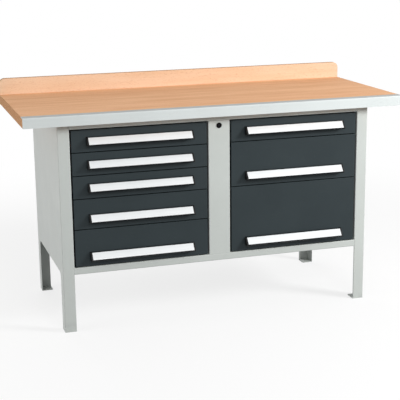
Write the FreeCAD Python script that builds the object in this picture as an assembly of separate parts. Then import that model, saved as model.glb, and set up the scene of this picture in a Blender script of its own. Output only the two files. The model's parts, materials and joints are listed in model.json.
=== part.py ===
import FreeCAD, Part
import math
import os

os.makedirs("parts", exist_ok=True)
V = FreeCAD.Vector

# Driving sizes in millimetres. The bench stands on z 0, its front looks towards minus y.
raster = 30.0
left_units = (3, 3, 3, 4, 5)
right_units = (3, 6, 9)
bay_width = 546.0
post_width = 88.0
leg_face = 46.0
leg_side = 50.0
end_overhang = 132.0
front_overhang = 45.0
rear_overhang = 15.0
body_depth = 590.0
work_height = 860.0
bottom_rail = 27.0
top_rail = 22.0
board_thickness = 40.0
upstand_thickness = 22.0
upstand_rise = 67.0
upstand_radius = 24.0
nosing_leg = 40.0
nosing_thickness = 3.0
nosing_clear = 0.3
board_edge_radius = 2.0
carcass_sheet = 1.5
wall_sheet = 1.2
drawer_sheet = 1.2
bend_radius = 1.5
foot_thickness = 4.0
floor_hole = 11.0

# Overrun of cuts and of rods that are joined, and the tolerance for finding edges
overrun = 1.0
tiny = 1e-6

# Folds and cut-outs of the carcass
return_depth = 22.0
cut_radius = 25.0
rail_return = 20.0
tray_rear_fold = 25.0
screw_flange = 45.0
screw_rail_lip = 25.0
panel_corner_gap = 3.0

# Drawer front and box
front_gap = 6.0
front_end_gap = 4.0
front_seam = 3.0
front_depth = 20.0
front_lip = 12.0
front_edge_radius = 1.6
runner_space = 15.0
box_floor_lift = 8.0
box_top_drop = 15.0
box_rear_clear = 32.0
box_hem = 2.4
box_hem_height = 9.0

# Handle strip, measured out from the drawer front and up from the seam below the drawer
handle_length = 420.0
handle_sheet = 2.0
handle_bend = 0.8
handle_foot = 36.0
handle_top = 60.0
handle_crown_out = 6.0
handle_crown = 58.5
handle_nose_out = 28.0
handle_nose = 30.0
handle_lip_out = 24.5
handle_lip = 27.0
cap_thickness = 6.0

# Roller runners, measured out from the bay wall and up from the rail's underside
rail_lift = 12.0
rail_height = 28.0
rail_width = 12.0
rail_sheet = 1.2
rail_front_gap = 2.0
rail_rear_gap = 22.0
roller_gap = 0.3
roller_start = 4.0
roller_width = 7.0
roller_boss = 4.0
slide_flange_lift = 25.0
slide_flange_start = 3.0
slide_leg = 1.5
front_roller_set = 16.0
rear_roller_set = 15.0

# Lock
lock_drop = 19.0
barrel_radius = 9.0
barrel_head_radius = 11.0
barrel_head = 2.0
barrel_length = 26.0
barrel_clear = 0.3
nut_sides = 6
nut_radius = 13.0
nut_thickness = 5.0
plug_radius = 6.0
plug_fit = 0.05
plug_tail = 2.0
key_slot_width = 1.4
key_slot_height = 7.0
key_slot_depth = 6.0
cam_thickness = 3.0
cam_throw = 8.5
cam_rest_angle = 45.0
cam_eye_wall = 2.0
cam_pin_radius = 2.5
cam_pin_gap = 5.0
cam_pin_end = 1.0
bar_thickness = 3.0
bar_half_width = 14.0
bar_clear = 0.4
finger_lift = 48.0
finger_height = 6.0
finger_reach = 9.0
catch_lift = 58.0
catch_height = 10.0
catch_depth = 10.0
catch_gap = 1.0

# Screws
screw_radius = 2.5
screw_clear = 0.3
screw_head_radius = 5.0
screw_head = 3.0
screw_bite = 28.0
screw_end_gap = 1.0
upstand_screw_bite = 38.0
screw_count = 5
screw_inset = 46.0
upstand_screw_inset = 80.0

# Places worked out from the sizes above
half_post = post_width / 2
bay_outer = half_post + bay_width
half_body = bay_outer + leg_face
half_length = half_body + end_overhang
half_depth = (front_overhang + body_depth + rear_overhang) / 2
front_plane = front_overhang - half_depth
rear_plane = front_plane + body_depth
board_under = work_height - board_thickness
zone_height = raster * sum(left_units)
zone_top = board_under - top_rail
zone_bottom = zone_top - zone_height
leg_clear = zone_bottom - bottom_rail
total_height = work_height + upstand_rise
return_end = front_plane + return_depth
back_outside = rear_plane - carcass_sheet
back_inside = back_outside - wall_sheet
board_rear = half_depth - upstand_thickness
bay_centre = half_post + bay_width / 2


def block(x0, x1, y0, y1, z0, z1):
    """Return the box between the given planes."""
    return Part.makeBox(x1 - x0, y1 - y0, z1 - z0, V(x0, y0, z0))


def unit(vector):
    """Return the vector at length one."""
    return vector * (1.0 / vector.Length)


def rounded_face(corners, radii, place):
    """Return a flat face with straight sides and rounded corners."""
    spots = []
    count = len(corners)
    for index in range(count):
        corner = V(corners[index][0], corners[index][1], 0)
        before = V(corners[index - 1][0], corners[index - 1][1], 0)
        after = V(corners[(index + 1) % count][0], corners[(index + 1) % count][1], 0)
        radius = radii[index]
        if radius <= 0:
            spots.append((corner, None, corner))
            continue
        back = unit(before - corner)
        on = unit(after - corner)
        half_angle = back.getAngle(on) / 2
        reach = radius / math.tan(half_angle)
        middle_way = unit(back + on)
        arc_middle = corner + middle_way * (radius / math.sin(half_angle) - radius)
        spots.append((corner + back * reach, arc_middle, corner + on * reach))
    edges = []
    for index in range(count):
        first, middle, last = spots[index]
        if middle is not None:
            edges.append(Part.Arc(place(first), place(middle), place(last)).toShape())
        following = spots[(index + 1) % count][0]
        if (following - last).Length > tiny:
            edges.append(Part.makeLine(place(last), place(following)))
    return Part.Face(Part.Wire(edges))


def folded_outline(path, thickness, inside_radius):
    """Return corners and radii of a folded sheet that lies on the right of its path."""
    points = [V(a, b, 0) for a, b in path]
    ways = [unit(points[i + 1] - points[i]) for i in range(len(points) - 1)]
    sides = [V(way.y, -way.x, 0) for way in ways]
    outer_radii = [0.0]
    inner_radii = [0.0]
    inner = [points[0] + sides[0] * thickness]
    for i in range(1, len(points) - 1):
        both = sides[i - 1] + sides[i]
        share = 1.0 + sides[i - 1].dot(sides[i])
        inner.append(points[i] + both * (thickness / share))
        turn = ways[i - 1].x * ways[i].y - ways[i - 1].y * ways[i].x
        bent_right = turn < 0
        outer_radii.append(inside_radius + thickness if bent_right else inside_radius)
        inner_radii.append(inside_radius if bent_right else inside_radius + thickness)
    inner.append(points[-1] + sides[-1] * thickness)
    outer_radii.append(0.0)
    inner_radii.append(0.0)
    corners = [(p.x, p.y) for p in points] + [(p.x, p.y) for p in reversed(inner)]
    return corners, outer_radii + list(reversed(inner_radii))


def folded_upright(path, thickness, inside_radius, z0, z1):
    """Return a folded sheet whose section lies in the floor plane."""
    corners, radii = folded_outline(path, thickness, inside_radius)
    face = rounded_face(corners, radii, lambda p: V(p.x, p.y, z0))
    return face.extrude(V(0, 0, z1 - z0))


def folded_lengthwise(path, thickness, inside_radius, x0, x1):
    """Return a folded sheet whose section is seen from the bench's end."""
    corners, radii = folded_outline(path, thickness, inside_radius)
    face = rounded_face(corners, radii, lambda p: V(x0, p.x, p.y))
    return face.extrude(V(x1 - x0, 0, 0))


def plate_across(corners, radii, x0, x1):
    """Return a flat plate whose outline is seen from the bench's end."""
    face = rounded_face(corners, radii, lambda p: V(x0, p.x, p.y))
    return face.extrude(V(x1 - x0, 0, 0))


def plate_facing(corners, radii, y0, y1):
    """Return a flat plate whose outline is seen from the front."""
    face = rounded_face(corners, radii, lambda p: V(p.x, y0, p.y))
    return face.extrude(V(0, y1 - y0, 0))


def rod_y(radius, x, y0, y1, z):
    """Return a round rod along y."""
    return Part.makeCylinder(radius, y1 - y0, V(x, y0, z), V(0, 1, 0))


def rod_z(radius, x, y, z0, z1):
    """Return a round rod along z."""
    return Part.makeCylinder(radius, z1 - z0, V(x, y, z0), V(0, 0, 1))


def rod_out(radius, x0, x1, y, z):
    """Return a round rod along x between two places in either order."""
    low = min(x0, x1)
    return Part.makeCylinder(radius, abs(x1 - x0), V(low, y, z), V(1, 0, 0))


def block_out(wall, side, u0, u1, y0, y1, z0, z1):
    """Return a box measured out from a bay wall; side is plus or minus one."""
    first = wall + side * u0
    last = wall + side * u1
    return block(min(first, last), max(first, last), y0, y1, z0, z1)


def spread(reach):
    """Return the screw places, evenly spaced from one end to the other."""
    step = 2 * reach / (screw_count - 1)
    return [-reach + step * index for index in range(screw_count)]


def eased(shape, radius, on_edge):
    """Return the shape with rounded edges; on_edge picks them by their bounding box."""
    return shape.makeFillet(radius, [edge for edge in shape.Edges if on_edge(edge.BoundBox)])


def mirrored(shape):
    """Return the shape mirrored to the other end of the bench."""
    return shape.mirror(V(0, 0, 0), V(1, 0, 0))


def save(shape, node):
    """Write one node."""
    shape.exportStep("parts/" + node + ".step")


def save_group(shapes, node):
    """Write one node that is made of several like pieces."""
    save(Part.makeCompound(shapes), node)


# Side panel with its two legs, folded from one sheet
panel_path = [
    (-bay_outer, return_end),
    (-bay_outer, front_plane),
    (-half_body, front_plane),
    (-half_body, rear_plane),
    (-bay_outer, rear_plane),
]
side_panel = folded_upright(panel_path, carcass_sheet, bend_radius, foot_thickness, board_under)
gap_front = front_plane + leg_side
gap_rear = rear_plane - leg_side
gap_corners = [(gap_front, -overrun), (gap_front, leg_clear), (gap_rear, leg_clear), (gap_rear, -overrun)]
leg_gap = plate_across(
    gap_corners, [0, cut_radius, cut_radius, 0], -half_body - overrun, -half_body + carcass_sheet + overrun
)
return_cut = block(
    -bay_outer - carcass_sheet - overrun, -bay_outer + overrun,
    front_plane + carcass_sheet + bend_radius, return_end + overrun, -overrun, leg_clear,
)
side_panel = side_panel.cut(leg_gap).cut(return_cut)
save(side_panel, "left_side_panel")
save(mirrored(side_panel), "right_side_panel")

# Foot plates with a floor-bolt hole
foot_middle_x = bay_outer + leg_face / 2
foot_rows = (front_plane + leg_side / 2, rear_plane - leg_side / 2)
foot_plates = []
for foot_x in (-foot_middle_x, foot_middle_x):
    for foot_y in foot_rows:
        plate = block(
            foot_x - leg_face / 2, foot_x + leg_face / 2,
            foot_y - leg_side / 2, foot_y + leg_side / 2, 0, foot_thickness,
        )
        hole = rod_z(floor_hole / 2, foot_x, foot_y, -overrun, foot_thickness + overrun)
        foot_plates.append(plate.cut(hole))
save_group(foot_plates, "foot_plates")

# Back panel inside the rear leg faces
back_half = half_body - carcass_sheet - panel_corner_gap
back_panel = block(-back_half, back_half, back_inside, back_outside, leg_clear, board_under)
save(back_panel, "back_panel")

# Bottom tray with the front rail
tray_path = [
    (front_plane + rail_return, leg_clear),
    (front_plane, leg_clear),
    (front_plane, zone_bottom),
    (back_inside, zone_bottom),
    (back_inside, zone_bottom - tray_rear_fold),
]
bottom_tray = folded_lengthwise(tray_path, carcass_sheet, bend_radius, -bay_outer, bay_outer)
save(bottom_tray, "bottom_tray")

# Worktop screws in both screw rails
screw_columns = spread(bay_outer - screw_inset)
front_screw_y = front_plane + (screw_flange + screw_rail_lip) / 2
rear_screw_y = back_inside - (screw_flange + rail_return) / 2
screw_seat = board_under - carcass_sheet
screws = []
rail_holes = []
board_holes = []
for screw_x in screw_columns:
    for screw_y in (front_screw_y, rear_screw_y):
        head = rod_z(screw_head_radius, screw_x, screw_y, screw_seat - screw_head, screw_seat)
        shank = rod_z(screw_radius, screw_x, screw_y, screw_seat - overrun, board_under + screw_bite)
        screws.append(head.fuse(shank).removeSplitter())
        wide = screw_radius + screw_clear
        rail_holes.append(rod_z(wide, screw_x, screw_y, screw_seat - overrun, board_under + overrun))
        deep = board_under + screw_bite + screw_end_gap
        board_holes.append(rod_z(wide, screw_x, screw_y, board_under - overrun, deep))

# Upstand screws from the rear into the board
upstand_screw_z = board_under + board_thickness / 2
upstand_seat = half_depth - screw_head
upstand_columns = spread(half_length - upstand_screw_inset)
upstand_holes = []
for screw_x in upstand_columns:
    tip = board_rear - upstand_screw_bite
    head = rod_y(screw_head_radius, screw_x, upstand_seat, half_depth, upstand_screw_z)
    shank = rod_y(screw_radius, screw_x, tip, upstand_seat + overrun, upstand_screw_z)
    screws.append(head.fuse(shank).removeSplitter())
    wide = screw_radius + screw_clear
    sunk = screw_head_radius + screw_clear
    upstand_holes.append(rod_y(wide, screw_x, board_rear - overrun, half_depth, upstand_screw_z))
    upstand_holes.append(rod_y(sunk, screw_x, upstand_seat, half_depth + overrun, upstand_screw_z))
    board_holes.append(rod_y(wide, screw_x, tip - screw_end_gap, board_rear + overrun, upstand_screw_z))
save_group(screws, "wood_screws")

# Screw rails under the worktop
front_rail_path = [
    (front_plane + screw_rail_lip, zone_top),
    (front_plane, zone_top),
    (front_plane, board_under),
    (front_plane + screw_flange, board_under),
]
top_front_rail = folded_lengthwise(front_rail_path, carcass_sheet, bend_radius, -bay_outer, bay_outer)
save(top_front_rail.cut(rail_holes), "top_front_rail")
rear_rail_path = [
    (back_inside - screw_flange, board_under),
    (back_inside, board_under),
    (back_inside, zone_top),
    (back_inside - rail_return, zone_top),
]
top_rear_rail = folded_lengthwise(rear_rail_path, carcass_sheet, bend_radius, -bay_outer, bay_outer)
save(top_rear_rail.cut(rail_holes), "top_rear_rail")

# Worktop board, nosing and upstand
nosing_path = [
    (-half_depth, board_under),
    (-half_depth, work_height),
    (-half_depth + nosing_leg, work_height),
]
edge_nosing = folded_lengthwise(nosing_path, nosing_thickness, bend_radius, -half_length, half_length)
save(edge_nosing, "edge_nosing")
board_front = -half_depth + nosing_thickness
rebate_floor = work_height - nosing_thickness
board_corners = [
    (board_front, board_under),
    (board_front, rebate_floor),
    (-half_depth + nosing_leg, rebate_floor),
    (-half_depth + nosing_leg, work_height),
    (board_rear, work_height),
    (board_rear, board_under),
]
board_radii = [0, bend_radius + nosing_clear, 0, 0, 0, 0]
worktop_board = plate_across(board_corners, board_radii, -half_length, half_length)
worktop_board = eased(
    worktop_board, board_edge_radius,
    lambda box: box.XLength < tiny and box.ZLength < tiny and box.YLength > nosing_leg,
)
save(worktop_board.cut(board_holes), "worktop_board")
upstand_corners = [
    (-half_length, board_under),
    (half_length, board_under),
    (half_length, total_height),
    (-half_length, total_height),
]
upstand_radii = [0, 0, upstand_radius, upstand_radius]
upstand_board = plate_facing(upstand_corners, upstand_radii, board_rear, half_depth)
upstand_board = eased(
    upstand_board, board_edge_radius, lambda box: box.YLength < tiny and box.ZMax > work_height
)
save(upstand_board.cut(upstand_holes), "upstand_board")

# Centre post with the lock hole
lock_z = zone_top - lock_drop
post_path = [
    (half_post, return_end),
    (half_post, front_plane),
    (-half_post, front_plane),
    (-half_post, return_end),
]
centre_post = folded_upright(post_path, carcass_sheet, bend_radius, zone_bottom, zone_top)
post_inside = front_plane + carcass_sheet
lock_hole = rod_y(barrel_radius + barrel_clear, 0, front_plane - overrun, post_inside + overrun, lock_z)
save(centre_post.cut(lock_hole), "centre_post")

# Lock barrel, nut, plug and cam
head_front = front_plane - barrel_head
barrel_rear = head_front + barrel_length
barrel = rod_y(barrel_head_radius, 0, head_front, front_plane, lock_z)
barrel = barrel.fuse(rod_y(barrel_radius, 0, head_front, barrel_rear, lock_z))
barrel = barrel.cut(rod_y(plug_radius + plug_fit, 0, head_front - overrun, barrel_rear + overrun, lock_z))
save(barrel.removeSplitter(), "lock_barrel")
nut_corners = []
for step in range(nut_sides):
    angle = math.radians(360 / nut_sides * step)
    nut_corners.append((nut_radius * math.cos(angle), lock_z + nut_radius * math.sin(angle)))
nut_rear = post_inside + nut_thickness
lock_nut = plate_facing(nut_corners, [0] * nut_sides, post_inside, nut_rear)
nut_bore = rod_y(barrel_radius + barrel_clear, 0, post_inside - overrun, nut_rear + overrun, lock_z)
save(lock_nut.cut(nut_bore), "lock_nut")
plug_rear = barrel_rear + plug_tail
lock_plug = rod_y(plug_radius, 0, head_front, plug_rear, lock_z)
key_slot = block(
    -key_slot_width / 2, key_slot_width / 2, head_front - overrun, head_front + key_slot_depth,
    lock_z - key_slot_height / 2, lock_z + key_slot_height / 2,
)
save(lock_plug.cut(key_slot), "lock_plug")
cam_rear = plug_rear + cam_thickness
pin_rise = cam_throw * math.sin(math.radians(cam_rest_angle))
pin_x = cam_throw * math.cos(math.radians(cam_rest_angle))
pin_z = lock_z - pin_rise
bar_front = cam_rear + cam_pin_gap
bar_rear = bar_front + bar_thickness
cam_eye = cam_pin_radius + cam_eye_wall
lock_cam = rod_y(plug_radius, 0, plug_rear, cam_rear, lock_z)
lock_cam = lock_cam.fuse(rod_y(cam_eye, pin_x, plug_rear, cam_rear, pin_z))
lock_cam = lock_cam.fuse(rod_y(cam_pin_radius, pin_x, plug_rear, bar_rear + cam_pin_end, pin_z))
save(lock_cam.removeSplitter(), "lock_cam")

# Drawer places, from the top of each bay down
drawers = []
for side, letter, units in ((-1, "l", left_units), (1, "r", right_units)):
    level = zone_top
    for number, count in enumerate(units, 1):
        height = zone_height * count / sum(units)
        level = level - height
        drawers.append((side, "drawer_" + letter + str(number), level, height))

# Locking bar with one finger for each drawer
bar_lift = 2 * pin_rise
bar_bottom = zone_bottom + finger_lift - finger_height
bar_top = pin_z + cam_pin_radius + bar_clear + finger_height
bar = block(-bar_half_width, bar_half_width, bar_front, bar_rear, bar_bottom, bar_top)
slots = []
for side, name, level, height in drawers:
    low = level + finger_lift
    reach = half_post + finger_reach
    bar = bar.fuse(block_out(0, side, 0, reach, bar_front, bar_rear, low, low + finger_height))
    slots.append(block_out(
        half_post * side, side, -wall_sheet - overrun, overrun, bar_front - bar_clear, bar_rear + bar_clear,
        low - bar_clear, low + finger_height + bar_lift + bar_clear,
    ))
pin_hole = block(
    pin_x - cam_pin_radius - bar_clear, cam_throw + cam_pin_radius + bar_clear,
    bar_front - overrun, bar_rear + overrun,
    pin_z - cam_pin_radius - bar_clear, pin_z + cam_pin_radius + bar_clear,
)
save(bar.cut(pin_hole).removeSplitter(), "locking_bar")

# Runner walls: end liners and partition sheets
liner = block(
    -bay_outer - wall_sheet, -bay_outer, return_end, back_inside, zone_bottom - bottom_rail / 2, board_under
)
partition = block(-half_post, -half_post + wall_sheet, return_end, back_inside, zone_bottom, zone_top)
walls = [liner, mirrored(liner), partition.cut(slots), mirrored(partition).cut(slots)]
save_group(walls, "runner_walls")

# Cabinet runners
rail_front = return_end + rail_front_gap
rail_rear = back_inside - rail_rear_gap
roller_radius = (slide_flange_lift - rail_sheet - 2 * roller_gap) / 2
roller_middle = rail_sheet + roller_gap + roller_radius
front_roller_y = rail_front + front_roller_set
cabinet_rails = []
cabinet_rollers = []
for side, name, level, height in drawers:
    low = level + rail_lift
    for wall, way in ((side * half_post, side), (side * bay_outer, -side)):
        outer = block_out(wall, way, 0, rail_width, rail_front, rail_rear, low, low + rail_height)
        hollow = block_out(
            wall, way, rail_sheet, rail_width + overrun, rail_front - overrun, rail_rear + overrun,
            low + rail_sheet, low + rail_height - rail_sheet,
        )
        cabinet_rails.append(outer.cut(hollow))
        middle = low + roller_middle
        disc_start = wall + way * roller_start
        disc_end = wall + way * (roller_start + roller_width)
        disc = rod_out(roller_radius, disc_start, disc_end, front_roller_y, middle)
        boss = rod_out(roller_boss, wall + way * rail_sheet, disc_end, front_roller_y, middle)
        cabinet_rollers.append(disc.fuse(boss).removeSplitter())
save_group(cabinet_rails, "cabinet_rails")
save_group(cabinet_rollers, "cabinet_rollers")

# Drawers
box_front = front_plane + front_depth
box_rear = back_inside - box_rear_clear
rear_roller_y = box_rear - rear_roller_set
catch_front = bar_rear + catch_gap
for side, name, level, height in drawers:
    middle_x = side * bay_centre
    half_front = bay_width / 2 - front_gap
    lowest = level - zone_bottom < tiny
    topmost = zone_top - level - height < tiny
    low = level + (front_end_gap if lowest else front_seam / 2)
    high = level + height - (front_end_gap if topmost else front_seam / 2)
    pan = block(middle_x - half_front, middle_x + half_front, front_plane, box_front, low, high)
    pan = eased(pan, front_edge_radius, lambda box: abs(box.YMax - front_plane) < tiny)
    hollow = block(
        middle_x - half_front + drawer_sheet, middle_x + half_front - drawer_sheet,
        front_plane + drawer_sheet, box_front - drawer_sheet, low + drawer_sheet, high - drawer_sheet,
    )
    window = block(
        middle_x - half_front + front_lip, middle_x + half_front - front_lip,
        front_plane + drawer_sheet, box_front + overrun, low + front_lip, high - front_lip,
    )
    save(pan.cut(hollow).cut(window), name + "_front")

    half_box = bay_width / 2 - runner_space
    floor = level + box_floor_lift
    rim = level + height - box_top_drop
    box = block(middle_x - half_box, middle_x + half_box, box_front, box_rear, floor, rim)
    well = block(
        middle_x - half_box + drawer_sheet, middle_x + half_box - drawer_sheet,
        box_front + drawer_sheet, box_rear - drawer_sheet, floor + drawer_sheet, rim + overrun,
    )
    box = box.cut(well)
    for end in (-1, 1):
        hem = block_out(
            middle_x + end * half_box, -end, 0, box_hem, box_front, box_rear, rim - box_hem_height, rim
        )
        box = box.fuse(hem)
    save(box.removeSplitter(), name + "_box")

    strip_path = [
        (front_plane - handle_lip_out, level + handle_lip),
        (front_plane - handle_nose_out, level + handle_nose),
        (front_plane - handle_crown_out, level + handle_crown),
        (front_plane, level + handle_top),
        (front_plane, level + handle_foot),
    ]
    half_strip = handle_length / 2 - cap_thickness
    strip = folded_lengthwise(
        strip_path, handle_sheet, handle_bend, middle_x - half_strip, middle_x + half_strip
    )
    save(strip, name + "_handle")
    cap_corners = strip_path[:4] + [(front_plane, level + handle_lip)]
    cap_round = handle_bend + handle_sheet
    cap_radii = [handle_bend, cap_round, cap_round, 0, 0]
    caps = [
        plate_across(cap_corners, cap_radii, middle_x - half_strip - cap_thickness, middle_x - half_strip),
        plate_across(cap_corners, cap_radii, middle_x + half_strip, middle_x + half_strip + cap_thickness),
    ]
    save_group(caps, name + "_caps")

    runners = []
    rail_low = level + rail_lift
    flange_low = rail_low + slide_flange_lift
    for wall, way in ((side * half_post, side), (side * bay_outer, -side)):
        leg_start = runner_space - slide_leg
        leg = block_out(
            wall, way, leg_start, runner_space, box_front, box_rear, rail_low, flange_low + rail_sheet
        )
        flange = block_out(
            wall, way, slide_flange_start, runner_space, rail_front, box_rear,
            flange_low, flange_low + rail_sheet,
        )
        runners.append(leg.fuse(flange).removeSplitter())
        roller_z = rail_low + roller_middle
        disc_start = wall + way * roller_start
        disc_end = wall + way * (roller_start + roller_width)
        disc = rod_out(roller_radius, disc_start, disc_end, rear_roller_y, roller_z)
        boss = rod_out(roller_boss, disc_start, wall + way * leg_start, rear_roller_y, roller_z)
        runners.append(disc.fuse(boss).removeSplitter())
    catch_low = level + catch_lift
    runners.append(block_out(
        side * half_post, side, finger_reach / 2, runner_space, catch_front, catch_front + catch_depth,
        catch_low, catch_low + catch_height,
    ))
    save_group(runners, name + "_rails")
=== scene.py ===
"""Box workbench, dressed for the studio.

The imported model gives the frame. Every length is in metres, in the part's own frame: x runs along the
bench to the right, the drawers face minus y, and z is up from the floor.
"""
from __future__ import annotations

import json
import logging
import math
from abc import ABC, abstractmethod
from dataclasses import dataclass
from enum import Enum
from typing import Any, Mapping, Optional, Sequence, Union

import bpy
import numpy as np
from mathutils import Matrix, Vector
from numpy.typing import ArrayLike

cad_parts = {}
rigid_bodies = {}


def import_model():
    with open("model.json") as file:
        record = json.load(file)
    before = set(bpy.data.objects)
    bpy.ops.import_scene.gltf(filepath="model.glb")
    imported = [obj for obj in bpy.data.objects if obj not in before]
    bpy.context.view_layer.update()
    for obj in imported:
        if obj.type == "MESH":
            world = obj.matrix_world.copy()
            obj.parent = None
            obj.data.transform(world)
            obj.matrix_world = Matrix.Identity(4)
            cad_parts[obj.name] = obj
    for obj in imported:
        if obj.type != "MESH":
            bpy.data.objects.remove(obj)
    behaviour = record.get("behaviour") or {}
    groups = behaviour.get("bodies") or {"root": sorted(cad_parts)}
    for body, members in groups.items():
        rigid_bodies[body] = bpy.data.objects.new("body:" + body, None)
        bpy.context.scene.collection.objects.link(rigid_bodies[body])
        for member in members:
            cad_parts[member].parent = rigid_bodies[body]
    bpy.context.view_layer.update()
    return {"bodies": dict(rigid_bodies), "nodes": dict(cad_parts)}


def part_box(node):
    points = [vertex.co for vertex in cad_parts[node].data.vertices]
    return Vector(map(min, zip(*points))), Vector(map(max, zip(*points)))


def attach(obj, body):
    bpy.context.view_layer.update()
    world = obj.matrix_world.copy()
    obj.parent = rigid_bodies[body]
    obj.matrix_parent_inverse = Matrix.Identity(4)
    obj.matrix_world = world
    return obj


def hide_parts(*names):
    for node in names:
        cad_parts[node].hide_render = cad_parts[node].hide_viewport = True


LOG = logging.getLogger("box_workbench")
WHITE = (1.0, 1.0, 1.0, 1.0)
NOISE_MIDDLE = 0.5
NOISE_ROUGHNESS = 0.55
DRIVE_LOBES = 6

# Numbers of the sockets that a Mix node has for colours
MIX_SHARE = 0
MIX_FIRST = 6
MIX_SECOND = 7
MIX_RESULT = 2

# The curve that screen colours are written with
FULL_TONE = 255.0
CURVE_FOOT = 0.04045
CURVE_FOOT_SLOPE = 12.92
CURVE_LIFT = 0.055
CURVE_POWER = 2.4

Rgb = tuple[int, int, int]
Step = tuple[float, float]
Triple = tuple[float, float, float]
Feed = Union["Shade", float, Sequence[float]]
Feeds = Mapping[Union[str, int], Feed]


def paint(colour: Rgb) -> tuple[float, float, float, float]:
    """Return a written screen colour as the linear colour that the shader takes.

    Args:
        colour: Red, green and blue from 0 to 255.

    Returns:
        Linear red, green and blue, with alpha one.
    """
    share = np.array(colour) / FULL_TONE
    foot = share / CURVE_FOOT_SLOPE
    rest = ((share + CURVE_LIFT) / (1 + CURVE_LIFT)) ** CURVE_POWER
    light = np.where(share <= CURVE_FOOT, foot, rest)
    return (*light.tolist(), 1.0)


class Shade:
    """A number in a shader tree, so that shader maths reads as Python."""

    def __init__(self, recipe: "Recipe", socket: bpy.types.NodeSocket) -> None:
        """Wrap one result of a node in the recipe's tree."""
        self.recipe = recipe
        self.socket = socket

    def _math(self, operation: str, first: Feed, second: Feed = 0.0) -> "Shade":
        """Add one Math node and return its result."""
        return self.recipe.node("ShaderNodeMath", {"operation": operation}, {0: first, 1: second})

    def __add__(self, other: Feed) -> "Shade":
        """Return self + other."""
        return self._math("ADD", self, other)

    def __radd__(self, other: Feed) -> "Shade":
        """Return other + self."""
        return self._math("ADD", other, self)

    def __sub__(self, other: Feed) -> "Shade":
        """Return self - other."""
        return self._math("SUBTRACT", self, other)

    def __rsub__(self, other: Feed) -> "Shade":
        """Return other - self."""
        return self._math("SUBTRACT", other, self)

    def __mul__(self, other: Feed) -> "Shade":
        """Return self * other."""
        return self._math("MULTIPLY", self, other)

    def __rmul__(self, other: Feed) -> "Shade":
        """Return other * self."""
        return self._math("MULTIPLY", other, self)

    def __abs__(self) -> "Shade":
        """Return the value without its sign."""
        return self._math("ABSOLUTE", self)

    def sine(self) -> "Shade":
        """Return the sine of the value in radians."""
        return self._math("SINE", self)

    def larger(self, other: Feed) -> "Shade":
        """Return the larger of the two values."""
        return self._math("MAXIMUM", self, other)

    def rise(self, low: float, high: float) -> "Shade":
        """Return a soft step that goes from zero at low to one at high.

        Args:
            low: Value where the step starts.
            high: Value where the step is complete.

        Returns:
            The step, between zero and one.
        """
        settings = {"interpolation_type": "SMOOTHSTEP"}
        feeds = {"Value": self, "From Min": low, "From Max": high, "To Min": 0.0, "To Max": 1.0}
        return self.recipe.node("ShaderNodeMapRange", settings, feeds)


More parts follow.
